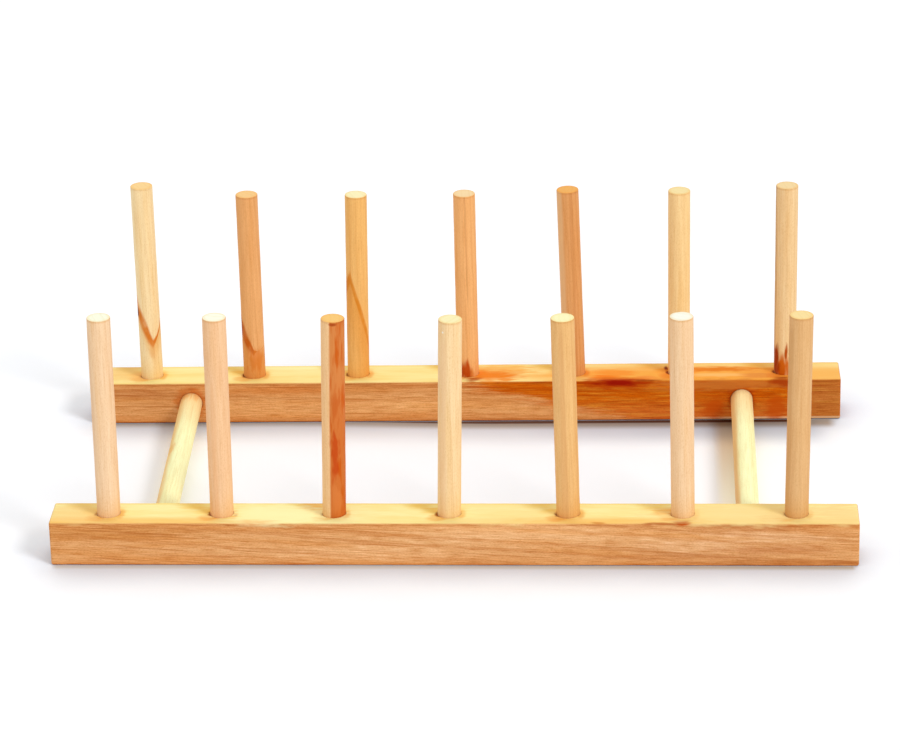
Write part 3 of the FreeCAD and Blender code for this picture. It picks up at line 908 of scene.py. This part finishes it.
def dowel_wood(node, line):
    """Make a cross dowel's pale wood, with painted warm light towards the rear rail for the light that the
    rail's orange wood reflects onto it.
    """
    colours = bpy.context.scene.rack_colours
    wood = Wood(f"{node}_wood", "cross_dowel_wood", line)
    seed = DOWEL_SEED + DOWEL_SEED_STEP * CROSS_DOWELS.index(node)
    far = wood.spread(wood.z, 0.62 * line.length / MM, 0.9 * line.length / MM, 0.0, 0.8)
    tone = wood.mix(far, tuple(colours.cross_dowel), tuple(colours.cross_dowel_rear_glow))
    figure = Figure(0.2, 0.4, 0.2, 0.1, 0.3, (0.5, 12), (0.8, 26))
    colour, rings, fibres = grain(wood, tone, (0.6, 0.8, 0.02), 2.4, figure, seed)
    colour = add_marks(wood, colour, node)
    return wood.close(colour, rings, fibres, ROUND_ROUGHNESS)


# ---- stage


def white_to_camera(bench):
    """Give 1 for rays that show a surface to the camera, straight or by gloss or glass."""
    path = bench.nodes.new("ShaderNodeLightPath")
    seen = path.outputs["Is Camera Ray"]
    for name in ("Is Glossy Ray", "Is Transmission Ray"):
        seen = bench.math("MAXIMUM", seen, path.outputs[name])
    return seen


# Painted shade on the floor in front of each rail: millimetres from the rail's face to which a shade is
# full and at which it ends, how it tints the floor, its strength at the left and at the right, and how far
# it stops short of the rail's right end. The rear rail's rows are a wide cool shade, a warm shade and a
# dark contact shadow.
RailShade = namedtuple("RailShade", "full_to ends_at stain left right short")
RAIL_SHADES = {
    "front": (
        RailShade(1.0, 4.4, (0.78, 0.66, 0.50), 0.6, 1.0, 1),
    ),
    "rear": (
        RailShade(14.0, 32.0, (0.66, 0.68, 0.72), 0.32, 0.9, 2),
        RailShade(4.0, 10.5, (0.62, 0.50, 0.38), 0.9, 1.0, 1),
        RailShade(1.8, 3.6, (0.30, 0.13, 0.08), 0.9, 1.0, 22),
    ),
}

# How the floor is tinted beside each cross dowel, where its shadow falls: painted shade where a colour is
# under 1, painted light where it is over 1. How far left of it, in millimetres, the tint is centred, how
# far it is full and where it ends, and its colour at the front and at the rear
DowelShade = namedtuple("DowelShade", "shift full_to ends_at front rear")
DOWEL_SHADES = {
    "left_cross_dowel": DowelShade(4.5, 1.0, 7.0, (1.10, 1.10, 1.00), (1.06, 1.02, 0.96)),
    "right_cross_dowel": DowelShade(5.5, 3.0, 9.0, (1.10, 1.08, 0.94), (0.84, 0.68, 0.50)),
}


def shade_by_rail(bench, colour, x, y, row):
    """Paint shade on the floor in front of a rail."""
    line = rail_line(row)
    turned = line.direction.y / line.direction.x
    face = line.start.y - line.start.x * turned - rail_size().y / 2
    off_face = bench.math("SUBTRACT", bench.math("ADD", bench.math("MULTIPLY", x, turned), face), y)
    in_front = bench.spread(off_face, -0.5 * MM, 0.0)
    # The rear rail's shades draw in towards its left end
    if row == "rear":
        off_face = bench.math("ADD", off_face, bench.spread(x, 20 * MM, -90 * MM, 0.0, 4.5 * MM))
    left_end = line.start.x
    right_end = left_end + line.length
    for look in RAIL_SHADES[row]:
        stop = right_end - look.short * MM
        mask = bench.both(
            in_front,
            bench.fade(off_face, look.full_to * MM, look.ends_at * MM),
            bench.spread(x, left_end, left_end + 3 * MM),
            bench.fade(x, stop - look.ends_at * MM / 2, stop),
            bench.spread(x, -40 * MM, 130 * MM, look.left, look.right),
        )
        colour = bench.tint(mask, colour, look.stain)
    return colour


def shade_by_dowel(bench, colour, x, y, node):
    """Paint shade and light on the floor to the left of a cross dowel, where its shadow falls."""
    look = DOWEL_SHADES[node]
    dowel = round_line(node)
    lean = dowel.direction.x / dowel.direction.y
    start = dowel.start.x - dowel.start.y * lean - look.shift * MM
    middle = bench.math("ADD", bench.math("MULTIPLY", y, lean), start)
    away = bench.math("ABSOLUTE", bench.math("SUBTRACT", x, middle))
    between_rails = bench.fade(bench.math("ABSOLUTE", y), 62 * MM, 70 * MM)
    band = bench.both(bench.fade(away, look.full_to * MM, look.ends_at * MM), between_rails)
    stain = bench.mix(bench.spread(y, -50 * MM, 50 * MM), look.front, look.rear)
    return bench.tint(band, colour, stain)


def contact_shade(bench):
    """Give the floor's shown colour, with painted shade: darker and cooler where the rack hides the sky
    near the rails, painted shade in front of the rails, and painted shade and light beside the dowels.
    """
    studio = bpy.context.scene.rack_studio
    open_sky = bench.nodes.new("ShaderNodeAmbientOcclusion")
    open_sky.samples = 8
    bench.plug(open_sky.inputs["Distance"], studio.contact_reach)
    place = bench.nodes.new("ShaderNodeSeparateXYZ")
    bench.plug(place.inputs["Vector"], bench.nodes.new("ShaderNodeTexCoord").outputs["Object"])
    x, y, _ = place.outputs
    off_middle = bench.math("ABSOLUTE", y)
    hidden = bench.math("SUBTRACT", 1.0, open_sky.outputs["AO"])
    near_rails = bench.spread(off_middle, 38 * MM, 60 * MM)
    colour = bench.mix(bench.both(hidden, near_rails), studio.floor_shown, studio.floor_contact)
    for row in RAIL_SHADES:
        colour = shade_by_rail(bench, colour, x, y, row)
    for node in CROSS_DOWELS:
        colour = shade_by_dowel(bench, colour, x, y, node)
    return colour


def lay_floor():
    """Lay a pale floor that shows white, and keeps the rack's shadow."""
    studio = bpy.context.scene.rack_studio
    clear_selection()
    bpy.ops.mesh.primitive_plane_add(size=studio.floor_size, location=(0, 0, 0))
    floor = bpy.context.object
    floor.name = "floor"
    material = bpy.data.materials.new("pale_floor")
    material.use_nodes = True
    bench = NodeBench(material.node_tree)
    bench.nodes.remove(bench.nodes["Principled BSDF"])
    shader = bench.nodes.new("ShaderNodeBsdfDiffuse")
    bench.plug(bench.nodes["Material Output"].inputs["Surface"], shader.outputs["BSDF"])
    colour = bench.mix(white_to_camera(bench), studio.floor_bounce, contact_shade(bench))
    bench.plug(shader.inputs["Color"], colour)
    floor.data.materials.append(material)


def hang_sky():
    """Light the rack evenly from all round, and show white behind it."""
    world = bpy.data.worlds.new("studio")
    bpy.context.scene.world = world
    world.use_nodes = True
    bench = NodeBench(world.node_tree)
    bench.nodes.clear()
    mix = bench.nodes.new("ShaderNodeMixShader")
    bench.plug(mix.inputs["Fac"], white_to_camera(bench))
    for number, level in ((1, bpy.context.scene.rack_studio.sky_level), (2, 1.0)):
        background = bench.nodes.new("ShaderNodeBackground")
        bench.plug(background.inputs["Color"], (1, 1, 1, 1))
        bench.plug(background.inputs["Strength"], level)
        bench.plug(mix.inputs[number], background.outputs["Background"])
    output = bench.nodes.new("ShaderNodeOutputWorld")
    bench.plug(output.inputs["Surface"], mix.outputs["Shader"])


def hang_lamp(name, way, spread, level):
    """Hang a far soft lamp in a direction from the rack, so wide in degrees.

    The level is how bright it makes a white surface that faces it: 1 is white.
    """
    lamp = bpy.data.lights.new(name, "SUN")
    lamp.angle = math.radians(spread)
    lamp.energy = level * math.pi
    holder = bpy.data.objects.new(name, lamp)
    bpy.context.scene.collection.objects.link(holder)
    holder.rotation_euler = Vector(way).to_track_quat("Z", "Y").to_euler()


def set_camera():
    """Stand the camera where the photograph was taken from."""
    studio = bpy.context.scene.rack_studio
    camera = bpy.data.cameras.new("camera")
    camera.lens = studio.lens
    camera.sensor_width = SENSOR_WIDTH
    camera.sensor_fit = "HORIZONTAL"
    holder = bpy.data.objects.new("camera", camera)
    bpy.context.scene.collection.objects.link(holder)
    pan = Matrix.Rotation(studio.camera_pan, 4, "Z")
    tilt = Matrix.Rotation(math.radians(90) - studio.camera_tilt, 4, "X")
    roll = Matrix.Rotation(studio.camera_roll, 4, "Z")
    holder.matrix_world = Matrix.Translation(studio.camera_place) @ pan @ tilt @ roll
    bpy.context.scene.camera = holder
    bpy.context.scene.view_settings.view_transform = "Standard"


# ---- settings


class RackSizes(bpy.types.PropertyGroup):
    """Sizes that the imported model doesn't give."""

    rear_rail_turn: FloatProperty(
        name="Rear rail turn", description="Turn of the rear rail, its right end back",
        default=math.radians(0.85), unit="ROTATION",
    )
    rail_edge_ease: FloatProperty(
        name="Rail edge", description="Width of the rails' sanded edges",
        default=1.0 * MM, precision=5, unit="LENGTH",
    )
    rail_wear: FloatProperty(
        name="Rail wear", description="How far the rails' faces are worn in",
        default=0.16 * MM, precision=5, unit="LENGTH",
    )
    rail_cuts: IntProperty(
        name="Rail cuts", description="Cuts along a rail's mesh", default=110, min=1,
    )
    peg_diameter: FloatProperty(
        name="Peg diameter", description="Diameter of the pegs",
        default=10 * MM, precision=5, unit="LENGTH",
    )
    peg_end_ease: FloatProperty(
        name="Peg end", description="Width of the eased edge at a peg's ends",
        default=0.4 * MM, precision=5, unit="LENGTH",
    )
    dowel_diameter: FloatProperty(
        name="Dowel diameter", description="Diameter of the cross dowels",
        default=10 * MM, precision=5, unit="LENGTH",
    )
    round_sides: IntProperty(
        name="Round sides", description="Sides of a round piece's mesh", default=64, min=12,
    )
    round_cuts: IntProperty(
        name="Round cuts", description="Cuts along a round piece's mesh", default=44, min=1,
    )
    round_wear: FloatProperty(
        name="Round wear", description="How far pegs and dowels are out of round",
        default=0.12 * MM, precision=5, unit="LENGTH",
    )
    glue_gap: FloatProperty(
        name="Glue gap", description="Gap that shows round a peg in its glued hole",
        default=0.04 * MM, precision=5, unit="LENGTH",
    )
    hole_mouth: FloatProperty(
        name="Hole mouth", description="How much wider a hole is at its countersunk mouth",
        default=0.5 * MM, precision=5, unit="LENGTH",
    )
    mouth_shift: FloatProperty(
        name="Mouth shift", description="How far a hole's mouth is off its middle",
        default=0.45 * MM, precision=5, unit="LENGTH",
    )
    hole_flare: FloatProperty(
        name="Hole flare", description="How deep a hole's countersunk mouth goes",
        default=0.45 * MM, precision=5, unit="LENGTH",
    )


class RackColours(bpy.types.PropertyGroup):
    """Colours of the rack's woods."""

    rail_side: FloatVectorProperty(
        name="Rail side", description="Sides of the rails", subtype="COLOR", default=shade("E6AA6F"),
    )
    rear_rail_side: FloatVectorProperty(
        name="Rear rail side", description="Sides of the rear rail", subtype="COLOR",
        default=shade("DD9E61"),
    )
    # Partly the tops' own paler wood, partly painted light for the stronger light from above
    rail_top: FloatVectorProperty(
        name="Rail top", description="Bleached top of the rails", subtype="COLOR", default=shade("FAF0AA"),
    )
    # Partly the top's own paler wood, partly painted light for the stronger light from above
    rear_rail_top: FloatVectorProperty(
        name="Rear rail top", description="Bleached top of the rear rail", subtype="COLOR",
        default=shade("FAE89D"),
    )
    cross_dowel: FloatVectorProperty(
        name="Cross dowel", description="Pale cross dowels", subtype="COLOR", default=shade("FFFDC2"),
    )
    late_wood: FloatVectorProperty(
        name="Late wood", description="How the rings darken a wood's tone", subtype="COLOR",
        default=(0.74, 0.55, 0.38),
    )
    rail_heart: FloatVectorProperty(
        name="Rail heart", description="Red-brown heart of the rear rail", subtype="COLOR",
        default=shade("CC6100"),
    )
    rail_heart_pale: FloatVectorProperty(
        name="Rail heart, pale", description="Paler streaks in the heart", subtype="COLOR",
        default=shade("D88A26"),
    )
    # Partly the heart's own paler top, partly painted light for the stronger light from above
    rail_heart_top: FloatVectorProperty(
        name="Rail heart, top", description="Bleached heart of the rear rail", subtype="COLOR",
        default=shade("F5AC48"),
    )
    # Painted light: the warm light that the rear rail's orange wood reflects onto the dowels' rear ends
    cross_dowel_rear_glow: FloatVectorProperty(
        name="Cross dowel, rear end", description="Warmer rear end of the cross dowels", subtype="COLOR",
        default=shade("F8D494"),
    )


class RackStudio(bpy.types.PropertyGroup):
    """The camera, the floor and the light."""

    camera_place: FloatVectorProperty(
        name="Camera place", description="Where the camera stands", subtype="TRANSLATION",
        default=(0.0851, -1.50165, 0.7084), precision=4, unit="LENGTH",
    )
    camera_pan: FloatProperty(
        name="Pan", description="Camera turned to the left", default=0.059, unit="ROTATION",
    )
    camera_tilt: FloatProperty(
        name="Tilt", description="Camera turned down", default=0.4123, unit="ROTATION",
    )
    camera_roll: FloatProperty(
        name="Roll", description="Camera rolled", default=-0.0248, unit="ROTATION",
    )
    lens: FloatProperty(
        name="Lens", description="Focal length in millimetres", default=150.85, unit="CAMERA",
    )
    floor_size: FloatProperty(
        name="Floor size", description="Side of the square floor", default=12.0, unit="LENGTH",
    )
    floor_bounce: FloatVectorProperty(
        name="Floor bounce", description="Floor as it lights the rack", subtype="COLOR",
        default=(0.95, 0.95, 0.96),
    )
    floor_shown: FloatVectorProperty(
        name="Floor shown", description="Floor as the camera sees it", subtype="COLOR",
        default=(1.01, 1.03, 1.06),
    )
    # Painted shade: the floor is drawn towards this colour where the rack hides the sky from it, near the
    # rails
    floor_contact: FloatVectorProperty(
        name="Floor contact", description="Floor as the camera sees it where the rack hides it",
        subtype="COLOR", default=(0.42, 0.60, 0.82),
    )
    contact_reach: FloatProperty(
        name="Contact reach", description="How far from the rack the floor's contact shade reaches",
        default=0.026, unit="LENGTH",
    )
    sky_level: FloatProperty(
        name="Sky", description="Level of the light from all round", default=0.55, min=0,
    )
    back_level: FloatProperty(
        name="Back", description="Level of the wide lamp above and behind", default=0.26, min=0,
    )
    key_level: FloatProperty(
        name="Key", description="Level of the lamp at the front right", default=0.37, min=0,
    )
    fill_level: FloatProperty(
        name="Fill", description="Level of the wide lamp at the front left", default=0.09, min=0,
    )


# ---- operators


class CutRails(bpy.types.Operator):
    """Plane both rails and drill them for the pegs and the cross dowels"""

    bl_idname = "plate_rack.cut_rails"
    bl_label = "Cut Rails"

    def execute(self, context):
        for row in ROWS:
            line = rail_line(row)
            rail = plane_rail(f"planed_{row}_rail")
            settle(rail, line)
            drill_rail(rail, row, line)
            finish_piece(rail, f"{row}_rail", rail_wood(row, line))
        return {"FINISHED"}


class TurnPegs(bpy.types.Operator):
    """Turn one peg, and stand a copy of it at each place in both rails"""

    bl_idname = "plate_rack.turn_pegs"
    bl_label = "Turn Pegs"

    def execute(self, context):
        sizes = context.scene.rack_sizes
        length = round_line("front_peg_1").length
        blank = turn_round("peg_blank", sizes.peg_diameter, length, sizes.peg_end_ease)
        for node in PEG_LOOKS:
            line = round_line(node)
            peg = copy_of(blank, f"turned_{node}")
            settle(peg, line)
            wear_surface(peg, sizes.round_wear, ROUND_WEAR_PATCH)
            finish_piece(peg, node, peg_wood(node, line))
        bpy.data.objects.remove(blank)
        return {"FINISHED"}


class LayCrossDowels(bpy.types.Operator):
    """Turn the two cross dowels and lay them between the rails"""

    bl_idname = "plate_rack.lay_cross_dowels"
    bl_label = "Lay Cross Dowels"

    def execute(self, context):
        sizes = context.scene.rack_sizes
        for node in CROSS_DOWELS:
            line = round_line(node)
            dowel = turn_round(f"turned_{node}", sizes.dowel_diameter, line.length, sizes.peg_end_ease)
            settle(dowel, line)
            wear_surface(dowel, sizes.round_wear, ROUND_WEAR_PATCH)
            finish_piece(dowel, node, dowel_wood(node, line))
        return {"FINISHED"}


class SetStage(bpy.types.Operator):
    """Lay the floor, hang the lamps and set the camera"""

    bl_idname = "plate_rack.set_stage"
    bl_label = "Set Stage"

    def execute(self, context):
        studio = context.scene.rack_studio
        lay_floor()
        hang_sky()
        hang_lamp("back_lamp", (0, 0.8, 1), 50, studio.back_level)
        hang_lamp("key_lamp", (0.88, -0.7, 1.0), 16, studio.key_level)
        hang_lamp("fill_lamp", (-0.5, -1.0, 0.6), 60, studio.fill_level)
        set_camera()
        return {"FINISHED"}


class PlateRackPanel(bpy.types.Panel):
    """Steps that make the rack, in order"""

    bl_idname = "VIEW3D_PT_plate_rack"
    bl_label = "Plate Rack"
    bl_space_type = "VIEW_3D"
    bl_region_type = "UI"
    bl_category = "Plate Rack"

    def draw(self, context):
        for step in STEPS:
            self.layout.operator(step.bl_idname)
        for group in (context.scene.rack_sizes, context.scene.rack_colours, context.scene.rack_studio):
            box = self.layout.box()
            for name in group.bl_rna.properties.keys():
                if name not in ("rna_type", "name"):
                    box.prop(group, name)


STEPS = (CutRails, TurnPegs, LayCrossDowels, SetStage)
SETTINGS = {"rack_sizes": RackSizes, "rack_colours": RackColours, "rack_studio": RackStudio}


def register():
    for item in (*SETTINGS.values(), *STEPS, PlateRackPanel):
        bpy.utils.register_class(item)
    for name, group in SETTINGS.items():
        setattr(bpy.types.Scene, name, PointerProperty(type=group))


def unregister():
    for name in SETTINGS:
        delattr(bpy.types.Scene, name)
    for item in (PlateRackPanel, *STEPS, *SETTINGS.values()):
        bpy.utils.unregister_class(item)


def main():
    """Make the whole rack on its stage."""
    register()
    bpy.ops.plate_rack.cut_rails()
    bpy.ops.plate_rack.turn_pegs()
    bpy.ops.plate_rack.lay_cross_dowels()
    bpy.ops.plate_rack.set_stage()


if __name__ == "__main__":
    main()
